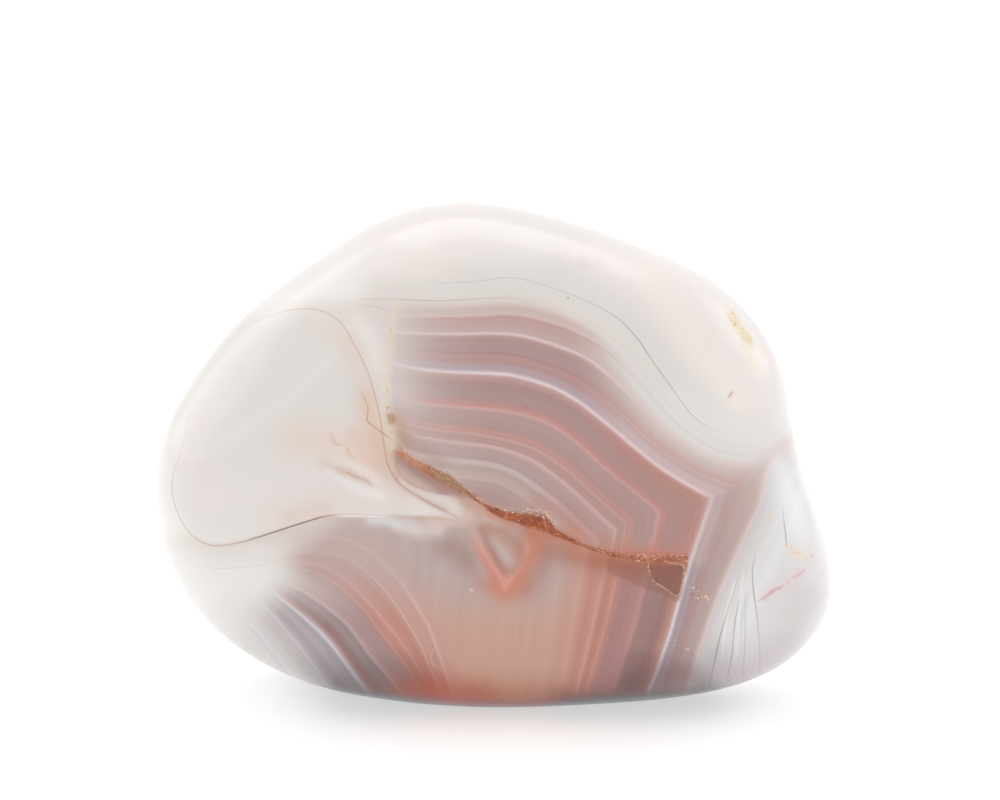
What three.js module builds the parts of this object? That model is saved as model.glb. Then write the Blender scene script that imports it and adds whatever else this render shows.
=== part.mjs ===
// A tumbled agate pebble: one polished stone, standing on the flattest part of its underside.
// Millimetres, +Z up. The broad face looks along -Y. The origin is on the resting surface,
// under the middle of the stone.
import * as THREE from "three";
import { mergeVertices } from "three/addons/utils/BufferGeometryUtils.js";

// Driving dimensions.
const FRONT_DEPTH = 12.5; // from the outline's plane out to the broad face
const BACK_DEPTH = 14.5; // from the outline's plane out to the back
const LEAN = THREE.MathUtils.degToRad(10); // the broad face leans back this much from upright
const FOOT_WEAR = 0.3; // what the flat resting patch takes off the underside
const FOOT_EDGE = 0.5; // height over which the patch rounds into the body
const FULLNESS = 2.2; // 2 gives elliptical sections, and more gives squarer, fuller ones
const FACE_DETAIL = 19; // each icosahedron edge is divided in one more than this many parts

// The outline of the stone, seen square on to the broad face, as [across, up] from its heart.
const OUTLINE = [
  [19.5, -0.6], [20.7, -4.2], [21.2, -6.9], [20.6, -9.3], [18.3, -11.8], [15.2, -13.2], // toe
  [11.8, -13.9], [6.0, -14.4], [0, -14.6], [-5.6, -14.2], [-10.5, -13.3], // underside
  [-14.3, -11.7], [-17.5, -9.3], [-19.6, -6.2], [-20.7, -2.0], [-20.4, 1.9], // left end
  [-18.9, 5.0], [-15.8, 9.1], [-10.9, 13.0], // left slope
  [-5.8, 16.0], [-1.5, 16.7], [2.8, 16.05], // crown
  [8.3, 14.35], [13.9, 11.75], [16.8, 8.8], [18.2, 5.9], // shoulder
  [18.7, 2.6], // neck
];

// Soft swells and hollows on the front and back, which leave the outline as it is: the direction
// each one faces from the heart, how far it spreads (radians) and its height there.
const SWELLS = {
  shoulder: { facing: [13, -9, 8], spread: 0.42, height: 1.1 },
  neck: { facing: [17, -8, 1], spread: 0.3, height: -0.5 },
  toe: { facing: [15, -8, -7], spread: 0.45, height: 0.6 },
  leftCheek: { facing: [-15, -9, 1], spread: 0.5, height: 0.6 },
  broadFace: { facing: [0, -1, -0.05], spread: 0.55, height: -0.4 },
  shoulderPit: { facing: [15.5, -4.3, 9], spread: 0.06, height: -0.6 },
  backHollow: { facing: [4, 12, 7], spread: 0.5, height: -0.9 },
  heel: { facing: [-9, 10, -6], spread: 0.55, height: 0.8 },
};
const SWELL_START = 0.5; // how far to the front or back (sine) a swell has its full height

const STONE = { color: 0xcdbcb6, roughness: 0.12, metalness: 0 };

// The outline's radius at an angle round the heart, read off a smooth closed curve.
function outlineRadiusReader() {
  const points = OUTLINE.map(([across, up]) => new THREE.Vector3(across, up, 0));
  const curve = new THREE.CatmullRomCurve3(points, true, "centripetal");
  const samples = curve
    .getPoints(720)
    .map((p) => ({ angle: Math.atan2(p.y, p.x), radius: Math.hypot(p.x, p.y) }))
    .sort((a, b) => a.angle - b.angle);
  return (angle) => {
    const next = samples.findIndex((s) => s.angle > angle);
    const after = samples[Math.max(next, 0)];
    const before = samples.at((next > 0 ? next : samples.length) - 1);
    const span = THREE.MathUtils.euclideanModulo(after.angle - before.angle, 2 * Math.PI);
    const share = THREE.MathUtils.euclideanModulo(angle - before.angle, 2 * Math.PI) / span;
    return THREE.MathUtils.lerp(before.radius, after.radius, share || 0);
  };
}

// From the heart of the stone to its surface along a unit vector.
function radiusAlong(direction, outlineRadius) {
  const across = Math.hypot(direction.x, direction.z);
  const rim = outlineRadius(Math.atan2(direction.z, direction.x));
  const backness = THREE.MathUtils.smoothstep(direction.y, -0.6, 0.6);
  const depth = THREE.MathUtils.lerp(FRONT_DEPTH, BACK_DEPTH, backness);
  const body =
    ((across / rim) ** FULLNESS + (Math.abs(direction.y) / depth) ** FULLNESS) ** (-1 / FULLNESS);
  const offOutline = THREE.MathUtils.smoothstep(Math.abs(direction.y), 0, SWELL_START);
  return Object.values(SWELLS).reduce((radius, { facing, spread, height }) => {
    const away = direction.angleTo(new THREE.Vector3(...facing)) / spread;
    return radius + height * offOutline * Math.exp(-away * away);
  }, body);
}

// Wears the underside to a flat patch at height 0 with a rounded edge.
function wearFoot(geometry) {
  geometry.computeBoundingBox();
  const bottom = geometry.boundingBox.min.z + FOOT_WEAR;
  const position = geometry.getAttribute("position");
  for (let i = 0; i < position.count; i++) {
    const height = position.getZ(i) - bottom;
    const eased = height < FOOT_EDGE ? (height * height) / (2 * FOOT_EDGE) : height - FOOT_EDGE / 2;
    position.setZ(i, height < 0 ? 0 : eased);
  }
}

function stoneGeometry() {
  const sphere = new THREE.IcosahedronGeometry(1, FACE_DETAIL);
  sphere.deleteAttribute("normal");
  sphere.deleteAttribute("uv");
  const geometry = mergeVertices(sphere);
  const outlineRadius = outlineRadiusReader();
  const position = geometry.getAttribute("position");
  const point = new THREE.Vector3();
  for (let i = 0; i < position.count; i++) {
    point.fromBufferAttribute(position, i).normalize();
    point.multiplyScalar(radiusAlong(point, outlineRadius));
    position.setXYZ(i, point.x, point.y, point.z);
  }
  geometry.rotateX(-LEAN);
  wearFoot(geometry);
  geometry.computeBoundingBox();
  const middle = geometry.boundingBox.getCenter(new THREE.Vector3());
  geometry.translate(-middle.x, -middle.y, 0);
  geometry.computeVertexNormals();
  return geometry;
}

const stone = new THREE.Mesh(stoneGeometry(), new THREE.MeshStandardMaterial(STONE));
stone.name = "stone";

const agate = new THREE.Group();
agate.add(stone);

export default agate;
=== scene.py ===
# A tumbled, polished banded agate on a pale studio floor. Blender works in metres. The stone's own
# numbers are in millimetres, and MM turns them to metres.
from math import cos, pi, radians, sin
import bmesh
import bpy
import numpy as np
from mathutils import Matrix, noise


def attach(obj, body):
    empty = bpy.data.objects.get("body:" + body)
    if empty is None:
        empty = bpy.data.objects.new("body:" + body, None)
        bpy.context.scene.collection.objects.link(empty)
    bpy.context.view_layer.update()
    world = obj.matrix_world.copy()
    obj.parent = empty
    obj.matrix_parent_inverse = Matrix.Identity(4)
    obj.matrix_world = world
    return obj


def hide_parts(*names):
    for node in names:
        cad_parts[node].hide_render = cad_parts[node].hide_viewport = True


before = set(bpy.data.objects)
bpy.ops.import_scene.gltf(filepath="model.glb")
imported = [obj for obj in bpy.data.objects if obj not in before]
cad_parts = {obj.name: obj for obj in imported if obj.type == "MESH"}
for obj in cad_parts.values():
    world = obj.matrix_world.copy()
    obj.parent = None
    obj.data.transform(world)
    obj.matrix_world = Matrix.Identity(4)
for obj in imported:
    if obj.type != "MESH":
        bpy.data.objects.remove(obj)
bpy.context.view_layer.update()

MM = 0.001

# ---------------------------------------------------------------------------------------------------
# Camera: 10 degrees above level, facing the broad face of the stone from 300 mm off.
# ---------------------------------------------------------------------------------------------------
VIEW_HEIGHT = radians(10)
VIEW_DISTANCE = 300 * MM
VIEW_CENTRE = (0.372 * MM, 0.086 * MM, 18.489 * MM)
VIEW_WIDTH = 62.04 * MM

camera = bpy.data.objects.new("camera", bpy.data.cameras.new("camera"))
camera.data.sensor_width = 36
camera.data.lens = camera.data.sensor_width * VIEW_DISTANCE / VIEW_WIDTH
camera.data.clip_start = 0.01
camera.location = (
    VIEW_CENTRE[0],
    VIEW_CENTRE[1] - VIEW_DISTANCE * cos(VIEW_HEIGHT),
    VIEW_CENTRE[2] + VIEW_DISTANCE * sin(VIEW_HEIGHT),
)
camera.rotation_euler = (pi / 2 - VIEW_HEIGHT, 0, 0)
bpy.context.scene.collection.objects.link(camera)
bpy.context.scene.camera = camera

# ---------------------------------------------------------------------------------------------------
# Studio: a pale floor, a white surround, and soft lights above and behind on both sides.
# ---------------------------------------------------------------------------------------------------
FLOOR_SIZE = 3.0
SURROUND = 1.02
# Each soft light: where it hangs, its width and depth, and its power in watts. All face the stone.
SOFT_LIGHTS = {
    "overhead": ((-0.03, 0.26, 0.42), (0.34, 0.22), 0.34),
    "back_left": ((-0.42, 0.22, 0.22), (0.46, 0.40), 0.45),
    "back_right": ((0.40, 0.30, 0.20), (0.30, 0.30), 0.2),
}

scene = bpy.context.scene
scene.view_settings.view_transform = "Standard"
scene.world = bpy.data.worlds.new("surround")
scene.world.use_nodes = True
backdrop = scene.world.node_tree.nodes["Background"]
backdrop.inputs["Color"].default_value = (1, 1, 1, 1)
backdrop.inputs["Strength"].default_value = SURROUND

floor_shape = bmesh.new()
bmesh.ops.create_grid(floor_shape, x_segments=1, y_segments=1, size=FLOOR_SIZE / 2)
floor = bpy.data.objects.new("floor", bpy.data.meshes.new("floor"))
floor_shape.to_mesh(floor.data)
floor_shape.free()
scene.collection.objects.link(floor)
pale = bpy.data.materials.new("pale_floor")
pale.use_nodes = True
pale_paint = pale.node_tree.nodes["Principled BSDF"]
pale_paint.inputs["Base Color"].default_value = (0.52, 0.52, 0.52, 1)
pale_paint.inputs["Roughness"].default_value = 0.9
pale_paint.inputs["Specular IOR Level"].default_value = 0.1
pale_paint.inputs["Emission Color"].default_value = (1, 1, 1, 1)
pale_paint.inputs["Emission Strength"].default_value = 0.58
floor.data.materials.append(pale)

for name, (place, spread, power) in SOFT_LIGHTS.items():
    lamp = bpy.data.lights.new(name, "AREA")
    lamp.shape = "RECTANGLE"
    lamp.size, lamp.size_y = spread
    lamp.energy = power
    light = bpy.data.objects.new(name, lamp)
    light.location = place
    aim = bpy.data.objects.new(name + "_aim", None)
    aim.location = (0, 0, 14 * MM)
    scene.collection.objects.link(aim)
    facing = light.constraints.new("TRACK_TO")
    facing.target = aim
    facing.track_axis, facing.up_axis = "TRACK_NEGATIVE_Z", "UP_Y"
    scene.collection.objects.link(light)

# ---------------------------------------------------------------------------------------------------
# The stone: one agate pebble, tumbled smooth and polished. It is chalcedony laid down layer by layer
# in a pocket of lava, so its bands all follow the pocket's walls. A crack across it healed with rust.
# ---------------------------------------------------------------------------------------------------
BODY_CUTS = 3
SMOOTHING_ROUNDS = 24

shape = bmesh.new()
shape.from_mesh(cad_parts["stone"].data)
bmesh.ops.remove_doubles(shape, verts=shape.verts, dist=0.001 * MM)
bmesh.ops.subdivide_edges(shape, edges=shape.edges, cuts=BODY_CUTS, use_grid_fill=True)
rounded = [v for v in shape.verts if v.co.z > 0.02 * MM]
for _ in range(SMOOTHING_ROUNDS):
    bmesh.ops.smooth_vert(
        shape, verts=rounded, factor=0.5, use_axis_x=True, use_axis_y=True, use_axis_z=True
    )

# The bands run back through the stone from an upright sheet through its heart, tipped back by the camera's
# height above level.
# On that sheet a place is (across, up) in mm from the heart.
HEART = np.array((-0.25, -0.67, 14.21))
INWARD = np.array((0, cos(VIEW_HEIGHT), -sin(VIEW_HEIGHT)))
UPWARD = np.array((0, sin(VIEW_HEIGHT), cos(VIEW_HEIGHT)))
APEX = np.array(VIEW_CENTRE) / MM - INWARD * VIEW_DISTANCE / MM
SWING, SWING_REACH = 0.55, 13  # how far the layers turn (radians), and over what depth (mm)


def sheet_places(points):
    """Where each point (mm) falls on the sheet of bands, and how far behind the sheet it is."""
    behind = (points - HEART) @ INWARD
    rays = points - APEX
    spots = APEX + rays * ((HEART - APEX) @ INWARD / (rays @ INWARD))[:, None]
    across, up = (spots - HEART)[:, 0], (spots - HEART) @ UPWARD
    # Behind the rim the layers swing round and ripple, so the back is another cut through them.
    depth = np.clip((behind - 1) / SWING_REACH, 0, 1) ** 1.3
    turn = SWING * depth
    swung = across * np.cos(turn) - up * np.sin(turn)
    raised = across * np.sin(turn) + up * np.cos(turn)
    swung = swung + depth * (1.4 * np.sin(0.45 * up + 0.6) - 2.0)
    raised = raised + depth * (1.1 * np.sin(0.38 * across) + 1.5)
    return np.stack((swung, raised), 1), behind


def curve(points, steps=10):
    """A smooth line through some points, as closely spaced points."""
    p = np.array(points, float)
    p = np.vstack((2 * p[0] - p[1], p, 2 * p[-1] - p[-2]))
    t = np.linspace(0, 1, steps, endpoint=False)[:, None]
    spans = [
        b + t * (c - a) / 2
        + t**2 * (a - 2.5 * b + 2 * c - d / 2)
        + t**3 * (b * 1.5 - a / 2 - c * 1.5 + d / 2)
        for a, b, c, d in zip(p, p[1:], p[2:], p[3:])
    ]
    return np.vstack((*spans, p[-2]))


def drawn_out(line, reach=30):
    """The line, carried straight on at both ends for a reach in mm."""
    ahead, back = line[-1] - line[-4], line[0] - line[3]
    far = np.arange(1, reach)[:, None]
    return np.vstack((
        (line[0] + far * back / np.linalg.norm(back))[::-1],
        line,
        line[-1] + far * ahead / np.linalg.norm(ahead),
    ))


def offset(places, line):
    """How far each place lies to the right of the line's run, in mm, and how far along it, 0 to 1."""
    start, run = line[:-1], line[1:] - line[:-1]
    middle = start + run / 2
    nearest = np.empty(len(places), int)
    for first in range(0, len(places), 20000):
        part = places[first : first + 20000]
        gaps = ((part[:, None, 0] - middle[None, :, 0]) ** 2 + (part[:, None, 1] - middle[None, :, 1]) ** 2)
        nearest[first : first + 20000] = gaps.argmin(1)
    best = np.full(len(places), 1e9)
    side, along = np.zeros(len(places)), np.zeros(len(places))
    for step in (-1, 0, 1):
        k = np.clip(nearest + step, 0, len(run) - 1)
        gap = places - start[k]
        t = np.clip((gap * run[k]).sum(1) / (run[k] ** 2).sum(1), 0, 1)
        off = gap - run[k] * t[:, None]
        far = np.hypot(off[:, 0], off[:, 1])
        closer = far < best
        best = np.where(closer, far, best)
        turned = run[k][:, 1] * gap[:, 0] - run[k][:, 0] * gap[:, 1]
        side = np.where(closer, np.sign(turned), side)
        along = np.where(closer, (k + t) / len(run), along)
    return best * side, along


def layer_depth(places, layers):
    """How deep each place lies among layers that are given by their depth (mm) and their line."""
    depths = sorted(layers)
    offs = [offset(places, drawn_out(curve(layers[d])))[0] for d in depths]
    deep = depths[0] + offs[0]
    for d0, d1, a, b in zip(depths, depths[1:], offs, offs[1:]):
        share = a / np.maximum(a - b, 1e-6)
        deep = np.where((a > 0) & (b <= 0), d0 + (d1 - d0) * share, deep)
        deep = np.where(b > 0, d1 + b, deep)
    return deep


# Layers that grew down from the roof of the pocket, as lines on the sheet, by their depth.
ROOF_LAYERS = {
    0.0: [(-21, 9.9), (-14, 10.3), (-9.93, 10.36), (-3.1, 10.55), (1.24, 10.73), (3.41, 10.36),
          (5.58, 9.43), (7.13, 8.44), (8.38, 7.26), (9.62, 5.65), (10.86, 4.09), (12.1, 2.85),
          (13.34, 1.99), (14.58, 1.49), (15.82, 1.3), (17.06, 1.61), (17.99, 2.42)],
    1.05: [(-21, 8.8), (-14, 9.3), (-6.2, 9.43), (-0.62, 9.52), (0.93, 9.62), (2.48, 9.43), (4.34, 8.93),
           (6.2, 8.13), (7.44, 7.32), (8.69, 6.14), (9.93, 4.71), (11.17, 3.35), (12.41, 2.3),
           (13.65, 1.49), (14.89, 1.05), (16.13, 0.93), (17.25, 1.24)],
    2.2: [(-21, 7.7), (-14, 8.5), (-6.51, 8.62), (-5.58, 8.5), (-3.1, 8.41), (0.93, 8.41), (3.1, 8.0),
          (5.58, 7.13), (6.82, 6.33), (8.06, 5.21), (9.31, 3.97), (10.55, 2.61), (11.79, 1.68),
          (13.03, 0.93), (14.27, 0.43), (15.63, 0.31)],
    4.65: [(-21, 6.4), (-12, 7.0), (-6.51, 6.72), (-5.58, 6.45), (-3.1, 6.14), (0.62, 5.96), (1.86, 5.74),
           (3.1, 5.4), (4.34, 4.9), (5.58, 4.16), (6.24, 3.68), (7.63, 2.55), (9.05, 1.35),
           (10.5, 0.22), (12.27, -0.91), (13.78, -1.66)],
    6.75: [(-21, 5.0), (-10, 5.3), (-6.2, 5.03), (-5.58, 4.59), (-4.34, 4.16), (-0.62, 3.85),
           (0.62, 3.72), (1.86, 3.51), (3.1, 3.16), (4.34, 2.54), (5.58, 1.61), (6.82, 0.43),
           (8.06, -0.56), (10.55, -2.54)],
    8.5: [(-21, 3.6), (-9, 4.1), (-6.08, 3.72), (-5.58, 3.16), (-4.96, 2.85), (-3.1, 2.48),
          (-0.62, 2.2), (0.62, 1.99), (1.86, 1.68), (3.1, 1.18), (4.34, 0.37), (5.58, -0.68), (8.5, -3.29)],
    10.2: [(-21, 2.1), (-8.5, 2.5), (-5.89, 2.05), (-4.96, 1.24), (-3.1, 0.81), (-0.62, 0.5),
           (0.62, 0.25), (1.86, -0.31), (3.1, -1.18), (4.34, -2.11), (6.7, -4.4)],
    11.2: [(-21, 0.9), (-8, 1.2), (-5.6, 0.5), (-4.34, 0.0), (-3.1, -0.31), (-0.62, -0.56), (0.62, -0.81),
           (1.86, -1.49), (3.1, -2.42), (5.27, -4.34)],
}
# Layers that grew in from the right-hand wall. They meet the roof's along a straight crease.
WALL_LAYERS = {
    0.0: [(19.23, 1.86), (17.68, 0.56), (17.25, -0.31), (16.75, -2.17), (16.01, -3.72),
          (15.08, -5.71), (14.27, -7.57), (13.4, -9.93), (12.22, -13.65)],
    3.6: [(15.32, -0.62), (14.39, -3.22), (13.34, -5.89), (12.41, -8.81), (11.04, -13.34)],
    4.65: [(13.8, -1.66), (13.66, -2.3), (13.33, -3.29), (12.68, -5.09), (12.08, -6.95), (11.62, -8.69),
           (11.07, -10.55), (10.46, -12.28), (9.78, -13.83)],
    6.75: [(10.55, -2.54), (10.11, -4.65), (9.49, -7.44), (8.69, -10.42), (7.63, -13.77)],
    8.5: [(8.5, -3.29), (8.0, -5.89), (7.2, -9.62), (6.33, -12.72), (5.96, -13.96)],
    10.2: [(6.7, -4.4), (6.02, -8.06), (5.15, -12.28), (4.84, -13.96)],
    12.5: [(4.09, -5.34), (3.91, -8.06), (3.1, -14.21)],
}
# Layers that fan out from the left and sweep down to the underside.
FAN_LAYERS = {
    0.0: [(-13.15, -12.53), (-15.2, -9.93), (-17.68, -7.44), (-18.61, -6.51)],
    1.68: [(-10.1, -13.3), (-11.0, -11.9), (-11.7, -11.0), (-12.3, -10.3), (-13.0, -9.4), (-14.0, -8.4),
           (-15.6, -7.1), (-16.8, -6.4)],
    3.0: [(-7.5, -13.9), (-8.4, -12.7), (-9.0, -11.85), (-10.0, -10.6), (-11.0, -9.6), (-12.0, -8.75),
          (-13.0, -7.95), (-13.9, -7.3), (-15.4, -6.5)],
    4.6: [(-5.3, -14.1), (-6.6, -12.5), (-7.3, -11.7), (-7.9, -10.9), (-8.5, -10.1), (-9.0, -9.5),
          (-10.0, -8.65), (-11.0, -7.95), (-12.0, -7.35), (-12.8, -7.05), (-14.6, -6.5)],
    6.3: [(-4.0, -14.1), (-5.4, -12.0), (-6.2, -10.9), (-7.0, -9.9), (-7.6, -9.0), (-8.2, -8.3),
          (-9.0, -7.6), (-9.5, -7.2), (-10.3, -6.7), (-11.0, -6.4), (-12.0, -6.15), (-13.4, -5.95),
          (-15, -5.9)],
    7.0: [(-3.4, -14.2), (-4.6, -12.1), (-5.2, -11.2), (-6.0, -10.1), (-7.0, -8.9), (-7.8, -8.0),
          (-8.4, -7.4), (-9.3, -6.65), (-10.0, -6.2), (-11.3, -5.8), (-12.8, -5.65), (-14.5, -5.65)],
    8.6: [(-2.9, -14.3), (-4.3, -11.0), (-5.2, -9.4), (-6.0, -8.2), (-6.8, -7.2), (-7.5, -6.5),
          (-8.2, -5.9), (-9.0, -5.45), (-10.0, -5.2), (-11.0, -5.12), (-12.5, -5.2), (-13.8, -5.4)],
    10.0: [(-2.2, -14.4), (-3.6, -10.3), (-4.6, -8.4), (-5.6, -6.9), (-6.6, -5.8), (-7.8, -4.84),
           (-9.0, -4.3), (-10.2, -4.16), (-11.5, -4.4), (-13.0, -4.9)],
    11.2: [(-0.87, -14.45), (-2.11, -9.93), (-4.09, -5.58), (-6.2, -3.6), (-8.69, -3.1), (-11.17, -3.47),
           (-13.03, -4.47)],
}
# The milky patch's rim, run clockwise from its top.
PATCH_RIM = [
    (-11.17, 10.02), (-10.24, 9.8), (-9.43, 9.31), (-8.81, 8.5), (-7.69, 6.33), (-7.07, 4.34),
    (-6.7, 2.48), (-6.45, 0.74), (-6.2, 0), (-5.83, -0.56), (-5.27, -1.12), (-3.72, -2.05),
    (-2.85, -2.48), (-1.86, -3.1), (-3.1, -3.04), (-5.58, -2.92), (-8.06, -2.73), (-9.93, -2.82),
    (-11.48, -3.23), (-14.14, -4.09), (-15.82, -4.56), (-17.37, -4.65), (-18.61, -3.91),
    (-19.48, -2.36), (-19.73, -0.62), (-19.17, 1.12), (-18.74, 3.1), (-18.12, 5.27),
    (-16.63, 7.94), (-15.51, 8.81), (-12.72, 9.86), (-11.17, 10.02),
]
# How dark the brown thread on that rim is, by how far round it is.
RIM_INK = [
    (0, 0.35), (0.12, 0.5), (0.25, 0.6), (0.33, 0.6), (0.41, 0.35), (0.44, 0.12), (0.5, 0.2), (0.53, 0.35),
    (0.565, 0.95), (0.6, 1.0), (0.64, 0.6), (0.69, 0.5), (0.76, 0.4), (0.83, 0.12), (0.93, 0.1), (0.97, 0.25),
    (1, 0.35),
]
# The healed crack, left to right, with its half width at each point.
CRACK = [
    (-6.02, 1.24, 0.06), (-5.4, 0.95, 0.26), (-4.84, 0.55, 0.22), (-3.6, -0.1, 0.34), (-2.6, -0.62, 0.42),
    (-1.9, -1.1, 0.26), (-1.1, -1.65, 0.12), (-0.43, -2.11, 0.1), (0.5, -2.65, 0.22),
    (1.4, -2.9, 0.34), (2.3, -3.12, 0.48), (3.2, -3.3, 0.52), (3.9, -3.75, 0.3), (4.59, -4.15, 0.16),
    (5.77, -4.65, 0.11), (7.2, -5.15, 0.15), (8.4, -5.4, 0.17), (10.67, -5.55, 0.2), (12.28, -5.5, 0.16),
]
# Where the bands above the crack part from those below, carried on past both of its ends.
PARTING = [
    (-21.0, -5.0), (-17.5, -5.1), (-13.0, -3.9), (-10.5, -3.1), (-7.5, -2.95), (-3.1, -3.1),
    (-0.8, -2.6), (0.74, -2.73), (2.11, -3.23), (3.54, -3.47), (4.59, -4.16), (5.77, -4.65),
    (7.2, -5.15), (8.06, -5.4), (10.67, -5.52), (12.28, -5.46), (14.0, -5.6), (22.0, -6.0),
]

# The chevron of salmon bands under the crack, and the dark scar at the crack's right-hand end.
CHEVRON = [
    (-1.3, -3.1), (-1.1, -3.9), (-0.75, -4.8), (-0.2, -5.8), (0.38, -6.75), (0.9, -7.6),
    (1.5, -6.9), (2.1, -6.0), (2.5, -5.2), (2.55, -4.4), (2.3, -3.5),
]
SCAR = [
    (9.86, -5.65), (10.7, -5.5), (11.3, -5.8), (12.0, -5.95), (11.97, -6.8), (11.66, -7.8),
    (10.8, -7.3), (10.1, -6.8), (9.86, -6.2), (9.86, -5.65),
]
# Patches with an edge, run clockwise: tone, strength, how soft the edge is in mm, and the run.
PANES = [
    # the mauve wedge under the crack's left end, and the white one under that
    ((228, 219, 213), 0.8, 0.5, [
        (-5.6, -0.6), (-4.96, -0.8), (-4.16, -1.1), (-3.41, -1.3), (-2.7, -1.5), (-2.2, -1.8), (-1.75, -2.3),
        (-1.7, -2.75), (-2.4, -2.85), (-2.85, -2.42), (-3.72, -1.98), (-5.2, -1.08), (-5.6, -0.6)]),
    ((174, 154, 149), 0.9, 0.12, [
        (-5.9, 0.9), (-5.1, 0.6), (-4.2, 0.1), (-3.2, -0.5), (-2.2, -1.0), (-1.2, -1.62), (-1.5, -1.75),
        (-2.05, -1.55), (-2.67, -1.56), (-3.41, -1.45), (-4.16, -1.24), (-4.96, -0.9), (-5.6, -0.3),
        (-5.9, 0.3), (-5.9, 0.9)]),
    ((150, 124, 118), 0.32, 0.3, [
        (-5.6, 0.8), (-4.4, 0.2), (-3.2, -0.5), (-2.2, -1.0), (-1.6, -1.5), (-2.4, -1.3), (-3.4, -0.9),
        (-4.6, -0.2), (-5.6, 0.8)]),
    ((210, 182, 168), 0.75, 0.4, [
        (-5.9, 0.5), (-5.3, -0.05), (-4.7, -0.45), (-4.0, -0.85), (-3.4, -1.3), (-4.16, -1.24), (-4.96, -0.9),
        (-5.6, -0.3), (-5.9, 0.5)]),
    # darker glass under the crack's right half, and low down beside the white line
    ((150, 104, 92), 0.5, 0.1, [
        (7.2, -5.4), (8.4, -5.6), (10.7, -5.7), (12.2, -5.7), (12.1, -6.6), (11.75, -8.0), (10.4, -7.65),
        (8.6, -6.9), (7.4, -6.3), (7.2, -5.4)]),
    ((120, 90, 92), 0.25, 0.6, [
        (8.3, -11.35), (9.2, -11.2), (10.5, -11.5), (10.0, -12.9), (9.4, -14.6), (7.3, -14.6), (7.9, -12.9),
        (8.3, -11.35)]),
]
# Fine dark threads between layers: half width, how brown, how dark along the run, and the run.
THREADS = [
    (0.045, 0.3, (0, 0.15, 0.25, 0.3, 0.25, 0.35, 0.55, 0.85, 0.7, 0.6, 0.45, 0), [
        (-5.89, 11.54), (-3.1, 11.6), (-0.62, 11.73), (1.24, 11.94), (3.1, 11.54), (5.58, 10.67),
        (7.75, 9.55), (9.12, 8.19), (10.05, 6.82), (11.29, 5.09), (12.72, 3.23), (14.27, 2.3)]),
    (0.06, 0.6, (0, 0.1, 0.25, 0.35, 0.3, 0), [
        (4.2, 9.9), (2.6, 10.45), (0.6, 10.68), (-3.1, 10.5), (-6.5, 10.62), (-9.0, 10.6)]),
    (0.05, 0.6, (0, 0.25, 0.3, 0), [(-8.5, 10.36), (-7.6, 10.22), (-6.6, 9.98), (-5.8, 9.75)]),
    (0.07, 0.1, (0.1, 0.3, 0.6, 0.7, 0.5, 0.4), [
        (15.51, -6.39), (15.01, -7.88), (14.39, -9.93), (14.08, -11.17), (13.85, -12.28), (13.6, -13.4)]),
    (0.06, 0.1, (0.4, 0.6, 0.4, 0.6, 0.5, 0), [
        (14.7, -13.0), (15.01, -11.48), (15.08, -10.55), (15.2, -9.43), (15.39, -8.38), (15.57, -7.57)]),
    (0.06, 0.1, (0.2, 0.3, 0.5, 0.7, 0.6, 0), [
        (16.75, -12.8), (16.72, -10.9), (16.56, -9.0), (16.38, -7.75), (16.28, -6.3), (16.5, -5.09)]),
    (0.06, 0.1, (0, 0.3, 0.35, 0.2), [(15.8, -7.5), (15.85, -9.2), (15.8, -11.0), (15.7, -12.8)]),
    (0.07, 0.4, (0, 0.3, 0.6, 0.5), [(18.1, -1.9), (18.2, -2.9), (18.33, -3.9), (18.4, -4.7)]),
    (0.06, 1, (0.3, 0.6, 0.7, 0.7, 0.8, 0.7), [
        (-8.0, 4.84), (-7.57, 3.91), (-7.63, 3.1), (-7.32, 2.79), (-6.6, 2.25), (-6.02, 1.86)]),
    (0.06, 0.6, (0, 0.1, 0.2, 0.12, 0), [
        (-19.2, -5.0), (-18.1, -5.9), (-16.7, -6.1), (-14.5, -5.95), (-13.0, -5.5)]),
]
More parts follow.
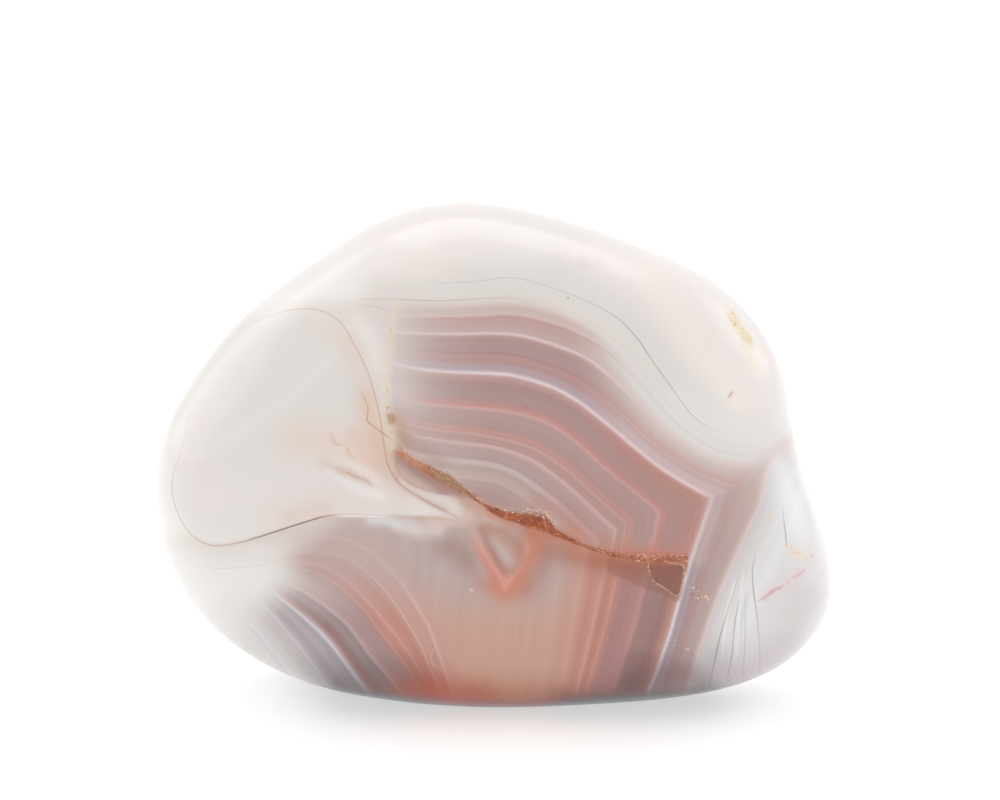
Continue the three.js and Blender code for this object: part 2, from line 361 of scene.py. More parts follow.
# Soft stains in the stone, in the order they are laid on: tone, strength, reach in mm, and run.
STAINS = [
    # the cap: warmer towards the shoulder, greyer along the thread, milky above its lower edge, with a
    # painted highlight along the ridge of its right shoulder
    ((243, 234, 230), 0.5, 3.0, [(8, 13), (13, 9), (16, 5)]),
    ((225, 220, 216), 0.6, 1.4, [(-3, 11.6), (3, 11.8), (8, 9.8), (11, 6.0), (14, 3.2)]),
    ((241, 234, 230), 0.6, 1.2, [(-3.6, 13.5), (-0.6, 13.8), (2.5, 13.7)]),
    ((242, 238, 234), 0.7, 1.1, [(-14.0, 10.2), (-11.4, 11.1), (-8.8, 11.3)]),
    ((243, 236, 232), 0.6, 1.4, [(-9.6, 12.4), (-7.0, 13.0), (-4.4, 13.2)]),
    ((236, 216, 200), 0.25, 0.6, [(-4.6, 12.9), (-2.6, 12.5)]),
    ((226, 206, 208), 0.4, 0.35, [(5.7, 12.9), (6.8, 12.8)]),
    # painted highlight: a pale streak along the ridge of the cap's right shoulder
    ((244, 236, 228), 0.5, 0.8, [(9.8, 12.0), (11.4, 9.6), (12.6, 7.6), (14.3, 5.8), (15.2, 4.2)]),
    ((228, 228, 227), 0.6, 0.8, [(11.8, 4.5), (14.3, 2.8), (16.8, 2.2), (18.3, 3.4)]),
    ((206, 130, 128), 0.6, 0.09, [(15.1, 4.9), (14.75, 4.45)]),
    ((238, 224, 204), 0.5, 0.27, [(15.9, 8.2), (16.1, 7.2), (16.4, 6.2)]),
    ((225, 212, 210), 0.5, 0.4, [(16.2, 0.5), (17.6, 1.2), (18.6, 1.4)]),
    # inside the milky patch
    ((224, 214, 211), 0.5, 1.4, [(-18.6, 3.4), (-18.3, 0.6), (-17.8, -1.8)]),
    ((233, 230, 227), 0.35, 0.45, [(-9.3, 7.6), (-11.5, 5.4), (-13.2, 3.9), (-17.8, 1.0)]),
    ((221, 218, 215), 0.5, 1.8, [(-15.5, 5.6), (-13.0, 7.6)]),
    ((230, 222, 220), 0.5, 1.8, [(-17.0, -1.6), (-13.5, -1.0), (-10.8, -1.4)]),
    ((228, 202, 186), 0.4, 0.8, [(-8.6, 8.0), (-7.7, 5.4), (-7.2, 3.2)]),
    ((226, 190, 166), 0.65, 0.8, [(-7.6, 4.4), (-7.1, 2.4), (-6.9, 0.8)]),
    ((220, 186, 168), 0.5, 0.8, [(-8.3, 2.0), (-7.8, 0.9), (-7.0, -0.2)]),
    ((232, 206, 190), 0.5, 1.3, [(-11.8, 1.9), (-9.6, 1.5), (-8.0, 0.9)]),
    ((228, 214, 208), 0.5, 1.2, [(-13.5, -2.9), (-11, -2.1), (-8.5, -1.9), (-5.5, -2.2)]),
    ((220, 196, 186), 0.45, 0.6, [(-12.6, -3.0), (-11.4, -2.6), (-10.2, -2.5)]),
    ((228, 210, 200), 0.4, 0.8, [(-11.2, 9.2), (-9.8, 8.7), (-9.0, 7.6)]),
    ((216, 188, 170), 0.6, 0.8, [(-6.7, 1.8), (-6.2, 0.2), (-5.2, -0.9)]),
    ((212, 168, 136), 0.4, 0.12, [(-9.9, 2.4), (-9.65, 1.7), (-9.1, 1.55)]),
    ((212, 168, 136), 0.35, 0.1, [(-8.9, 1.5), (-8.75, 1.05), (-8.3, 0.6)]),
    ((238, 234, 231), 0.6, 0.33, [(-9.9, -0.1), (-9.2, -0.5), (-8.2, -1.2), (-6.8, -1.6)]),
    ((236, 230, 226), 0.5, 0.3, [(-10.2, 0.7), (-8.8, 0.35), (-7.6, -0.1), (-7.0, -0.7)]),
    ((214, 188, 174), 0.5, 0.4, [(-10.2, 0.5), (-9.5, 0.1), (-8.9, -0.1)]),
    ((212, 180, 164), 0.45, 0.18, [(-9.6, 0.15), (-9.1, -0.1), (-8.5, -0.25), (-8.1, -0.5)]),
    ((200, 158, 138), 0.5, 0.17, [(-8.9, -0.15), (-8.3, -0.45), (-7.8, -0.6), (-7.3, -0.95)]),
    # pinker glass under the crack's middle, and the wisps under the patch's tail
    ((208, 178, 164), 0.7, 0.5, [(-2.1, -2.1), (-0.9, -2.5), (0.3, -3.1)]),
    ((202, 154, 134), 0.6, 0.35, [(-1.3, -1.8), (-0.6, -2.3), (0.3, -2.8), (1.4, -3.3)]),
    ((156, 130, 124), 0.5, 0.8, [(-2.8, -4.75), (-2.1, -5.0), (-1.5, -5.5)]),
    ((170, 118, 100), 0.6, 0.8, [(2.6, -4.7), (4.3, -5.1), (6.8, -5.8), (9.2, -6.3)]),
    ((224, 223, 225), 0.7, 0.33, [(-7.4, -3.1), (-6.4, -3.15), (-5.7, -3.4)]),
    ((216, 213, 214), 0.6, 0.36, [(-5.9, -3.3), (-5.2, -3.55), (-4.6, -3.8)]),
    ((222, 210, 206), 0.65, 0.5, [(-5.0, -3.5), (-4.2, -3.7), (-3.3, -3.7)]),
    ((222, 200, 188), 0.65, 0.45, [(-3.6, -3.2), (-2.5, -3.15), (-1.4, -2.95)]),
    # where the layers below the patch swirl up to the left and dissolve
    ((241, 238, 234), 0.6, 1.2, [(-20.4, -3.4), (-19.4, -5.2), (-17.8, -7.4)]),
    ((232, 230, 226), 0.7, 1.2, [(-18.5, -6.0), (-17.6, -6.5), (-16.0, -6.9), (-14.6, -6.9)]),
    ((230, 225, 221), 0.5, 1.0, [(-18.0, -5.0), (-15.0, -5.0), (-13.4, -5.4)]),
    # the bands' left end, and where they turn at the right
    ((220, 211, 208), 0.7, 1.8, [(-6.4, 9.4), (-6.2, 7.0), (-6.0, 5.0)]),
    ((238, 231, 227), 0.5, 0.6, [(-8.2, 9.3), (-7.4, 8.0), (-6.9, 6.6)]),
    ((178, 144, 136), 0.4, 0.6, [(-5.2, 1.7), (-4.2, 1.3), (-3.2, 0.6)]),
    ((203, 177, 175), 0.6, 0.55, [(13.9, -1.7), (13.6, -3.4), (13.0, -5.4)]),
    # round the chevron
    ((176, 142, 134), 0.5, 0.6, [(-1.9, -5.0), (-1.2, -6.0), (-0.5, -7.0)]),
    ((174, 124, 110), 0.55, 0.9, [(2.9, -4.6), (3.1, -5.8), (2.2, -7.2)]),
    ((206, 130, 102), 0.75, 0.8, [(0.4, -7.2), (1.0, -7.5), (1.7, -6.8)]),
    # embers low in the stone, and its lower edge: a deeper rust of its own, darkened further with painted
    # shade where the stone turns under
    ((150, 96, 88), 0.3, 0.25, [(-10.2, -9.65), (-9.3, -10.75), (-8.6, -11.7), (-7.9, -12.6), (-7.0, -13.8)]),
    ((182, 86, 58), 0.8, 1.5, [(-5.2, -14.4), (-3.0, -14.3), (-1.0, -14.9)]),
    ((172, 98, 72), 0.6, 1.1, [(-1.0, -14.7), (1.6, -14.9), (4.4, -14.7)]),
    ((128, 74, 68), 0.7, 1.0, [(4.4, -14.6), (6.8, -14.5), (9.0, -14.3)]),
    ((116, 88, 92), 0.55, 1.2, [(9.0, -13.2), (11.4, -12.7), (13.4, -13.0)]),
    ((92, 46, 44), 0.6, 0.6, [(-9.4, -13.5), (-7.4, -14.0), (-5.6, -14.4), (-4.0, -14.7)]),
    ((140, 60, 30), 0.8, 0.5, [(-4.0, -14.7), (-2.2, -14.9), (1.0, -15.0), (5.0, -14.8)]),
    ((76, 38, 42), 0.7, 0.6, [(5.0, -14.7), (8.1, -14.4), (11.0, -14.1), (13.6, -13.7), (16, -13.0)]),
    # rust that spread from the crack
    ((190, 150, 125), 0.5, 0.5, [(-5.9, 3.3), (-5.5, 2.4), (-5.3, 1.6)]),
    ((192, 132, 104), 0.35, 0.4, [(-5.9, 1.0), (-4.6, 0.3), (-3.4, -0.5)]),
    ((170, 124, 92), 0.8, 0.17, [(-6.2, 3.5), (-6.05, 3.25), (-5.95, 3.0)]),
    ((190, 134, 124), 0.45, 0.7, [(3.0, -2.1), (4.3, -2.5), (5.6, -3.2)]),
    ((192, 122, 96), 0.5, 0.6, [(2.6, -3.7), (4.0, -4.2), (5.4, -4.9)]),
    ((178, 110, 84), 0.55, 0.45, [(6.4, -5.5), (8.4, -5.9), (10.0, -6.0), (11.8, -6.0)]),
    ((198, 130, 108), 0.5, 0.6, [(4.9, -3.7), (6.6, -4.4), (8.6, -5.0), (11, -5.2)]),
    # the toe: painted shade making it greyer below and towards its right, white streaks between its threads,
    # a rosy foot and a pink streak
    ((240, 239, 240), 0.7, 0.12, [(15.2, -6.9), (14.7, -8.9), (14.5, -10.6), (14.4, -12.0)]),
    ((240, 240, 242), 0.6, 0.1, [(15.75, -6.4), (15.45, -8.4), (15.4, -10.2), (15.3, -12.0)]),
    ((206, 206, 210), 0.5, 0.12, [(16.0, -7.4), (15.6, -9.6), (15.5, -11.8)]),
    ((234, 234, 237), 0.5, 1.1, [(17.8, 0.2), (18.2, -1.5), (18.9, -3.4)]),
    # painted shade on the toe's lower right side and underside
    ((205, 198, 198), 0.6, 1.7, [(19.4, -8.2), (18.4, -10.5), (16.6, -12.2)]),
    ((184, 178, 182), 0.6, 1.0, [(14.0, -11.6), (15.2, -13.0)]),
    ((196, 186, 188), 0.6, 1.0, [(14.8, -12.8), (16.8, -12.3), (18.6, -11.2)]),
    ((222, 210, 210), 0.3, 1.0, [(15.6, -12.4), (17.2, -12.4), (18.6, -11.5)]),
    ((228, 208, 210), 0.5, 0.4, [(17.2, -7.6), (19.2, -6.4)]),
    ((212, 150, 158), 0.6, 0.1, [(16.6, -8.15), (17.1, -7.85), (17.7, -7.5)]),
    ((208, 140, 150), 0.6, 0.1, [(17.2, -7.7), (17.7, -7.4), (18.25, -7.15)]),
    ((214, 164, 178), 0.5, 0.07, [(18.3, -7.1), (18.7, -6.85)]),
    ((208, 156, 176), 0.6, 0.08, [(18.7, -6.75), (19.2, -6.45), (19.6, -6.1)]),
    ((238, 222, 202), 0.6, 0.24, [(18.3, -4.7), (19.0, -5.2), (19.9, -5.35)]),
    # scratches and tiny inclusions
    ((222, 176, 156), 0.4, 0.07, [(-3.2, -10.7), (-3.7, -11.6), (-3.35, -12.2), (-2.8, -12.3)]),
    ((160, 84, 76), 0.9, 0.07, [(4.8, 10.65), (4.88, 10.68)]),
    ((242, 218, 202), 0.8, 0.08, [(-1.3, -7.35), (-1.05, -7.55)]),
]
# The almond inside the chevron and the glow beside it, laid on after it.
ALMOND = [
    ((206, 172, 156), 0.5, 0.3, [(-1.3, -3.4), (-0.8, -4.3), (-0.4, -5.0)]),
    ((200, 168, 156), 0.6, 0.3, [(-1.5, -1.75), (-1.1, -2.05), (-0.6, -2.5)]),
    ((156, 114, 100), 0.55, 0.26, [(-0.5, -3.65), (-0.15, -4.5), (0.3, -5.3), (0.85, -6.2)]),
    ((176, 132, 118), 0.6, 0.3, [(0.0, -3.6), (0.93, -3.9), (1.75, -4.7), (2.0, -5.4), (1.4, -6.2)]),
    ((192, 171, 167), 0.8, 0.42, [(0.35, -4.3), (0.8, -5.0), (1.2, -5.7)]),
    ((200, 182, 178), 0.5, 0.26, [(0.55, -4.7), (0.8, -5.1), (1.05, -5.5)]),
    ((194, 146, 112), 0.45, 0.3, [(-0.3, -3.6), (0.4, -4.0), (0.9, -4.5)]),
    ((204, 134, 110), 0.5, 0.5, [(2.75, -4.0), (3.0, -4.8), (2.65, -5.6)]),
]
# Where grains of ochre are strewn: the veil left of the bands, the crack's last flakes, the toe's notch.
OCHRE_VEIL = [
    (-5.83, 10.36), (-6.0, 9.55), (-6.14, 8.3), (-6.27, 7.13), (-6.42, 6.2), (-6.45, 5.0),
    (-6.42, 4.1), (-6.14, 3.23), (-6.1, 2.4), (-6.1, 1.4),
]
FLAKES = [
    (0.22, [(12.6, -7.3), (13.0, -7.75), (13.6, -8.2)]),
    (0.15, [(11.3, -10.6), (12.0, -10.9), (12.8, -11.3)]),
    (0.17, [(18.45, -4.8), (18.9, -5.1), (19.5, -5.35), (20.0, -5.4)]),
    (0.13, [(19.7, -5.5), (20.0, -6.1)]),
    (0.2, [(17.4, -2.9), (17.4, -3.9)]),
    (0.12, [(-9.8, 2.2), (-9.5, 1.6), (-9.0, 1.5), (-8.6, 0.9)]),
]
SPLINTERS = [(-1.2, -7.45), (2.2, 3.95), (5.4, 1.85), (12.5, -7.75), (12.9, -8.1), (12.5, -11.4)]
SHOULDER_PIT = [(15.0, 9.6), (15.5, 8.8), (16.1, 7.9)]


def close_by(places, run, reach):
    """Which places lie within a reach of a run."""
    close = ((places > run.min(0) - reach) & (places < run.max(0) + reach)).all(1)
    close[close] = np.abs(offset(places[close], run)[0]) < reach
    return close


def nearness(places, run, reach):
    """1 on a mark's run, falling away softly over its reach. A fine mark tapers at both ends."""
    run = curve(run, 6)
    close, near = close_by(places, run, 3 * reach), np.zeros(len(places))
    gap, along = offset(places[close], run)
    if reach < 0.25:
        reach = reach * (0.25 + 3 * along * (1 - along))
    near[close] = np.exp(-((gap / reach) ** 2))
    return near


def vertex_places(body):
    """The stone's vertices in mm, where they fall on the sheet and how far behind it they are."""
    points = np.array([v.co for v in body.verts]) / MM
    return (points, *sheet_places(points))


# The skin gets a finer mesh along the crack, the fine marks and the splinters, on the front only.
FINE_ROUNDS = 2
FINE_BEHIND = 3  # how far behind the sheet, in mm, the finer mesh goes
fine_runs = [(curve([c[:2] for c in CRACK]), 0.85), (curve(OCHRE_VEIL), 0.45), (curve(CHEVRON), 0.2)]
fine_runs += [(curve(SCAR), 0.25)] + [(curve(run), 0.15) for tone, strength, soft, run in PANES if soft < 0.3]
fine_runs += [(curve(run), 0.3) for tone, strength, reach, run in STAINS + ALMOND if reach < 0.25]
fine_runs += [(curve([(x - 0.1, y), (x + 0.1, y)]), 0.4) for x, y in SPLINTERS]
fine_runs += [(curve(run), 2 * reach) for reach, run in FLAKES]
for _ in range(FINE_ROUNDS):
    points, places, behind = vertex_places(shape)
    near = np.any([close_by(places, run, reach) for run, reach in fine_runs], 0) & (behind < FINE_BEHIND)
    fine = [e for e in shape.edges if near[e.verts[0].index] and near[e.verts[1].index]]
    bmesh.ops.subdivide_edges(shape, edges=fine, cuts=1, smooth=1.0)
    bmesh.ops.triangulate(shape, faces=shape.faces)
    shape.normal_update()
    shape.verts.index_update()

points, places, behind = vertex_places(shape)
underside = -np.array([v.normal.z for v in shape.verts])
front = 1 - np.clip((behind - 1) / 5, 0, 1)
crack_run = curve([c[:2] for c in CRACK])
seam, seam_along = offset(places, crack_run)
seam_width = np.interp(seam_along * (len(CRACK) - 1), range(len(CRACK)), [c[2] for c in CRACK])
beyond = np.hypot(*(places - crack_run[0]).T) * (seam_along <= 0)
beyond = beyond + np.hypot(*(places - crack_run[-1]).T) * (seam_along >= 1)
seam_width = np.maximum((seam_width - 1.2 * beyond) * front, 0.001)
scar = offset(places, curve(SCAR))[0]
veil = nearness(places, OCHRE_VEIL, 0.3) * front
flakes = np.max([nearness(places, run, reach * 1.8) for reach, run in FLAKES], 0) * front

# Wear: the crack is a shallow ragged groove with a chipped upper lip, the scar is sunk a little,
# and the pit and a few splinters are rough.
groove = np.clip(1.1 - np.abs(seam) / seam_width, 0, 0.6) / 0.6
lip = np.exp(-(((seam + seam_width + 0.06) / 0.12) ** 2)) * (seam_width > 0.05)
pit = nearness(places, SHOULDER_PIT, 0.45)
nicks = sum(np.exp(-(np.hypot(*(places - s).T) / 0.14) ** 2) for s in SPLINTERS)
hollow = np.clip(scar / 0.15, 0, 1) * front
for vert, cut, chip, dip, nick, sunk in zip(shape.verts, groove, lip, pit * front, nicks * front, hollow):
    if cut + chip + dip + nick + sunk > 0.02:
        grain = noise.fractal(vert.co / MM * 2.6, 0.8, 2.1, 3)
        coarse = noise.noise(vert.co / MM * 1.7)
        depth = cut * (0.07 + 0.09 * grain) + chip * max(0, 0.16 * coarse + 0.04)
        depth += dip * (0.02 + 0.12 * grain) + nick * (0.06 + 0.06 * grain) + sunk * (0.05 + 0.03 * grain)
        vert.co -= vert.normal * float(depth) * MM

stone_mesh = bpy.data.meshes.new("agate_pebble")
shape.to_mesh(stone_mesh)
shape.free()
stone_mesh.shade_smooth()


def give(name, values):
    """Stores one number for each vertex of the stone, for its material to read."""
    stone_mesh.attributes.new(name, "FLOAT", "POINT").data.foreach_set("value", values.astype(np.float32))


give("roof", layer_depth(places, ROOF_LAYERS))
give("wall", layer_depth(places, WALL_LAYERS))
give("fan", layer_depth(places, FAN_LAYERS))
give("patch", offset(places, curve(PATCH_RIM))[0] - 0.9 * np.clip(behind - 2, 0, None))
rim_along = offset(places, curve(PATCH_RIM))[1]
give("rim_ink", np.interp(rim_along, *zip(*RIM_INK)) * front)
give("below", offset(places, drawn_out(curve(PARTING)))[0])
give("across", places[:, 0])
give("up", places[:, 1])
give("seam", seam)
give("seam_width", seam_width)
give("scar", np.where(front > 0.5, scar, -1))
give("chevron", offset(places, curve(CHEVRON))[0])
give("veil", veil)
give("flakes", flakes)
give("pit", pit * front)
give("front", front)
give("underside", underside)

thread, thread_ink = np.full(len(places), 1e6), np.zeros(len(places))
thread_brown = np.zeros(len(places))
for half_width, brown, inks, run in THREADS:
    off, along = offset(places, curve(run))
    closer = np.abs(off / half_width) < np.abs(thread)
    thread = np.where(closer, off / half_width, thread)
    on_run = (np.abs(off) < 0.35) * (along > 0) * (along < 1)
    ink = np.interp(along, np.linspace(0, 1, len(inks)), inks) * on_run
    thread_ink = np.where(closer, ink, thread_ink)
    thread_brown = np.where(closer, brown, thread_brown)
give("thread", thread)
give("thread_ink", thread_ink * front)
give("thread_brown", thread_brown)

# What this studio's light adds to a dark tone through the polish, and how much it brightens a tone.
POLISH, BRIGHTNESS = 0.045, 1.06


def linear(tone):
    """The base colour, in linear light, that this studio shows as a tone (0 to 255) on screen."""
    parts = [c / 255 for c in tone]
    parts = [c / 12.92 if c < 0.04045 else ((c + 0.055) / 1.055) ** 2.4 for c in parts]
    return tuple(max(0.0, (c - POLISH) / BRIGHTNESS) for c in parts) + (1.0,)


def lay(stain, tone, cover):
    """Lays a tone over a stain, given for each vertex as its linear colour and how much it covers."""
    cover = (cover * front)[:, None]
    total = cover + stain[:, 3:] * (1 - cover)
    mixed = np.array(linear(tone)[:3]) * cover + stain[:, :3] * stain[:, 3:] * (1 - cover)
    return np.hstack((mixed / np.maximum(total, 1e-6), total))


for name, strokes in {"stain": STAINS, "almond": ALMOND}.items():
    stain = np.zeros((len(places), 4))
    for tone, strength, reach, run in strokes:
        stain = lay(stain, tone, strength * nearness(places, run, reach))
    if name == "stain":
        for tone, strength, soft, run in PANES:
            inside = np.clip(offset(places, curve(run))[0] / soft + 0.5, 0, 1)
            stain = lay(stain, tone, strength * inside)
    laid = stone_mesh.attributes.new(name, "FLOAT_COLOR", "POINT")
    laid.data.foreach_set("color", stain.astype(np.float32).ravel())

stone = bpy.data.objects.new("agate_pebble", stone_mesh)
scene.collection.objects.link(stone)


class Flow:
    """A value on its way through a material's nodes. Arithmetic on it adds Math nodes."""

    tree = None

    def __init__(self, socket):
        self.socket = socket

    @classmethod
    def node(cls, kind, settings=None, inputs=None, out=0):
        """Adds a node: its settings first (a ramp's stops among them), then its sockets."""
        made = cls.tree.nodes.new(kind)
        for name, setting in (settings or {}).items():
            if name == "stops":
                ramp = made.color_ramp.elements
                while len(ramp) < len(setting):
                    ramp.new(0.5)
                for stop, (place, colour) in zip(ramp, setting):
                    stop.position, stop.color = place, colour
            else:
                setattr(made, name, setting)
        for name, value in (inputs or {}).items():
            if isinstance(value, Flow):
                cls.tree.links.new(value.socket, made.inputs[name])
            else:
                made.inputs[name].default_value = value
        return cls(made.outputs[out])

    def maths(self, operation, *others):
        return Flow.node("ShaderNodeMath", {"operation": operation}, dict(enumerate((self, *others))))

    def __add__(self, other):
        return self.maths("ADD", other)

    __radd__ = __add__

    def __mul__(self, other):
        return self.maths("MULTIPLY", other)

    __rmul__ = __mul__

    def __sub__(self, other):
        return self.maths("SUBTRACT", other)

    def __rsub__(self, other):
        return Flow.node("ShaderNodeMath", {"operation": "SUBTRACT"}, {0: other, 1: self})

    def rise(self, low, high, bottom=0.0, top=1.0):
        """Climbs smoothly from bottom to top as the value goes from low to high."""
        return Flow.node(
            "ShaderNodeMapRange",
            {"interpolation_type": "SMOOTHSTEP"},
            {"Value": self, "From Min": low, "From Max": high, "To Min": bottom, "To Max": top},
        )


def stored(name):
    return Flow.node("ShaderNodeAttribute", {"attribute_name": name}, out=2)


def over(under, tone, cover):
    """A tone or colour laid over another where cover is 1."""
    below, top = (c if isinstance(c, Flow) else linear(c) for c in (under, tone))
    return Flow.node("ShaderNodeMix", {"data_type": "RGBA"}, {0: cover, 6: below, 7: top}, out=2)


def banded(depth, tones, first, last):
    """Bands of tones by their depth."""
    stops = [((d - first) / (last - first), linear(tone)) for d, tone in tones]
    share = Flow.node("ShaderNodeMapRange", {}, {"Value": depth, "From Min": first, "From Max": last})
    return Flow.node("ShaderNodeValToRGB", {"stops": stops}, {0: share})


agate = bpy.data.materials.new("polished_agate")
agate.use_nodes = True
Flow.tree = agate.node_tree
surface = agate.node_tree.nodes["Principled BSDF"]

ROOF_TONES_OUTER = [
    (0.0, (223, 213, 208)), (0.3, (219, 203, 198)), (0.48, (210, 186, 180)), (0.64, (204, 183, 178)),
    (0.84, (207, 184, 179)), (0.98, (216, 189, 183)), (1.12, (195, 160, 152)), (1.5, (195, 165, 161)),
    (1.75, (198, 171, 167)), (2.03, (196, 172, 168)), (2.13, (221, 199, 196)), (2.21, (219, 196, 193)),
    (2.31, (190, 159, 157)), (2.5, (181, 151, 148)),
    (3.25, (179, 150, 149)), (3.4, (177, 143, 141)), (3.6, (190, 152, 147)), (3.95, (181, 150, 149)),
    (4.2, (185, 162, 165)), (4.45, (188, 169, 171)), (4.55, (208, 190, 194)), (4.62, (223, 206, 211)),
    (4.7, (219, 199, 203)), (4.79, (198, 163, 158)), (5.0, (191, 154, 149)), (5.2, (176, 145, 143)),
    (6.0, (174, 148, 144)),
]
ROOF_TONES_RIGHT = [
    (0.0, (225, 221, 218)), (0.9, (222, 216, 213)), (1.1, (218, 211, 208)), (1.3, (223, 219, 216)),
    (1.6, (223, 218, 215)), (1.85, (221, 208, 204)), (2.1, (217, 200, 196)), (2.2, (219, 202, 198)),
    (2.35, (210, 193, 188)), (2.6, (208, 190, 185)), (2.95, (204, 179, 176)), (3.2, (204, 173, 168)),
    (3.3, (202, 170, 164)), (3.45, (207, 175, 169)), (3.7, (200, 173, 170)), (3.95, (202, 180, 179)),
    (4.25, (206, 182, 184)), (4.5, (212, 191, 192)), (4.62, (224, 203, 204)), (4.73, (214, 182, 178)),
    (4.84, (196, 152, 144)), (5.0, (191, 142, 134)), (5.4, (183, 142, 134)), (6.0, (176, 143, 138)),
]
ROOF_TONES_INNER = [
    (6.0, (180, 150, 146)), (6.3, (181, 146, 144)), (6.5, (191, 147, 142)), (6.65, (203, 150, 143)),
    (6.8, (208, 170, 164)), (6.95, (187, 156, 153)), (7.5, (180, 154, 150)), (8.05, (183, 151, 146)),
    (8.2, (196, 152, 143)), (8.4, (194, 150, 142)), (8.52, (203, 167, 159)), (8.68, (186, 152, 146)),
    (9.0, (187, 154, 148)), (9.12, (209, 179, 176)), (9.24, (200, 171, 168)), (9.4, (187, 161, 157)),
    (10.0, (181, 159, 156)), (10.2, (202, 181, 178)), (10.36, (197, 178, 173)), (10.52, (184, 165, 159)),
    (11.05, (196, 170, 165)), (11.2, (198, 173, 168)), (11.4, (182, 160, 155)), (12.2, (182, 151, 145)),
    (13.0, (186, 150, 138)),
]
WALL_TONES = [
    (0.0, (220, 205, 203)), (0.3, (205, 185, 183)), (0.7, (193, 170, 166)), (1.2, (186, 163, 160)),
    (2.0, (182, 161, 160)), (2.7, (182, 156, 151)), (3.0, (179, 149, 144)), (3.6, (177, 147, 146)),
    (3.8, (172, 147, 147)), (4.1, (175, 155, 157)), (4.45, (171, 157, 162)), (4.58, (200, 188, 191)),
    (4.7, (224, 210, 212)), (4.82, (196, 158, 150)), (5.1, (180, 135, 125)), (5.45, (160, 123, 120)),
    (6.1, (161, 130, 127)), (6.5, (164, 129, 124)), (6.75, (190, 147, 142)), (7.0, (182, 137, 133)),
    (7.6, (171, 133, 131)), (8.1, (175, 135, 129)), (8.35, (184, 137, 129)), (8.52, (202, 149, 141)),
    (8.85, (191, 135, 121)), (9.15, (188, 137, 126)), (9.42, (206, 156, 149)), (9.75, (196, 144, 131)),
    (10.3, (194, 145, 130)), (10.85, (204, 159, 146)), (11.5, (198, 153, 138)), (13.0, (201, 162, 147)),
]
FAN_TONES = [
    (0.0, (216, 212, 209)), (0.2, (212, 207, 207)), (0.3, (207, 202, 203)), (0.42, (214, 210, 211)),
    (0.66, (210, 205, 205)), (0.9, (206, 200, 199)), (1.14, (199, 190, 190)), (1.5, (193, 186, 187)),
    (1.64, (203, 195, 196)), (1.76, (190, 179, 180)), (2.0, (175, 164, 166)), (2.2, (171, 162, 166)),
    (2.42, (184, 171, 173)), (2.65, (174, 164, 168)), (2.86, (170, 165, 171)), (2.95, (204, 198, 202)),
    (3.02, (212, 203, 206)), (3.12, (192, 174, 174)), (3.3, (176, 149, 145)), (3.5, (160, 131, 129)),
    (3.75, (154, 134, 134)), (4.1, (160, 142, 142)), (4.48, (159, 139, 139)), (4.6, (184, 160, 160)),
    (4.7, (189, 163, 163)), (4.85, (179, 152, 151)), (5.2, (173, 145, 144)), (6.0, (174, 142, 139)),
    (6.22, (180, 139, 133)), (6.38, (199, 151, 143)), (6.52, (190, 140, 130)), (7.0, (199, 148, 137)),
]
FAN_TONES_INNER = [
    (7.0, (208, 162, 152)), (7.1, (206, 158, 148)), (7.3, (196, 146, 134)), (7.8, (194, 143, 129)),
    (8.2, (192, 144, 130)), (8.48, (196, 152, 140)), (8.62, (211, 174, 164)), (8.78, (199, 157, 145)),
    (9.3, (200, 158, 147)), (9.8, (198, 156, 146)), (10.02, (216, 180, 170)), (10.2, (200, 159, 149)),
    (10.7, (202, 162, 148)), (11.2, (202, 170, 158)),
]

CAP_TONES = [
    (-10, (241, 233, 230)), (-6, (238, 230, 226)), (-2.5, (229, 222, 218)), (-1.0, (224, 218, 213)),
    (-0.3, (226, 219, 214)), (0, (222, 211, 206)),
]
TOE_TONES = [
    (-8, (236, 231, 229)), (-5.5, (228, 224, 223)), (-3.8, (229, 224, 224)), (-2.9, (226, 223, 223)),
    (-2.2, (230, 229, 229)), (-1.7, (224, 222, 223)), (-1.3, (226, 223, 222)), (-1.05, (220, 216, 215)),
    (-0.85, (219, 215, 213)), (-0.5, (215, 210, 208)), (-0.25, (210, 204, 202)), (0, (217, 200, 199)),
]

place = Flow.node("ShaderNodeTexCoord", out=3)


def cloud(size, detail=2.0):
    """Noise from -1 to 1 with patches of about a size in mm."""
    made = Flow.node("ShaderNodeTexNoise", {}, {"Vector": place, "Scale": 1 / (size * MM), "Detail": detail})
    return made * 2 - 1


def lines(depth, spacing):
    """Noise from -1 to 1 that changes only with depth, as thin layers do."""
    made = Flow.node(
        "ShaderNodeTexNoise", {"noise_dimensions": "1D"}, {"W": depth, "Scale": 1 / spacing, "Detail": 2.0}
    )
    return made * 2 - 1


def lit(colour, share):
    """A colour made lighter or darker by a share."""
    return Flow.node("ShaderNodeVectorMath", {"operation": "SCALE"}, {0: colour, "Scale": share})


wander = cloud(3.0) * 0.05 + cloud(1.3) * 0.01
roof, wall, fan = stored("roof") + wander, stored("wall") + wander, stored("fan") + wander
patch, below, across, up = stored("patch"), stored("below"), stored("across"), stored("up")

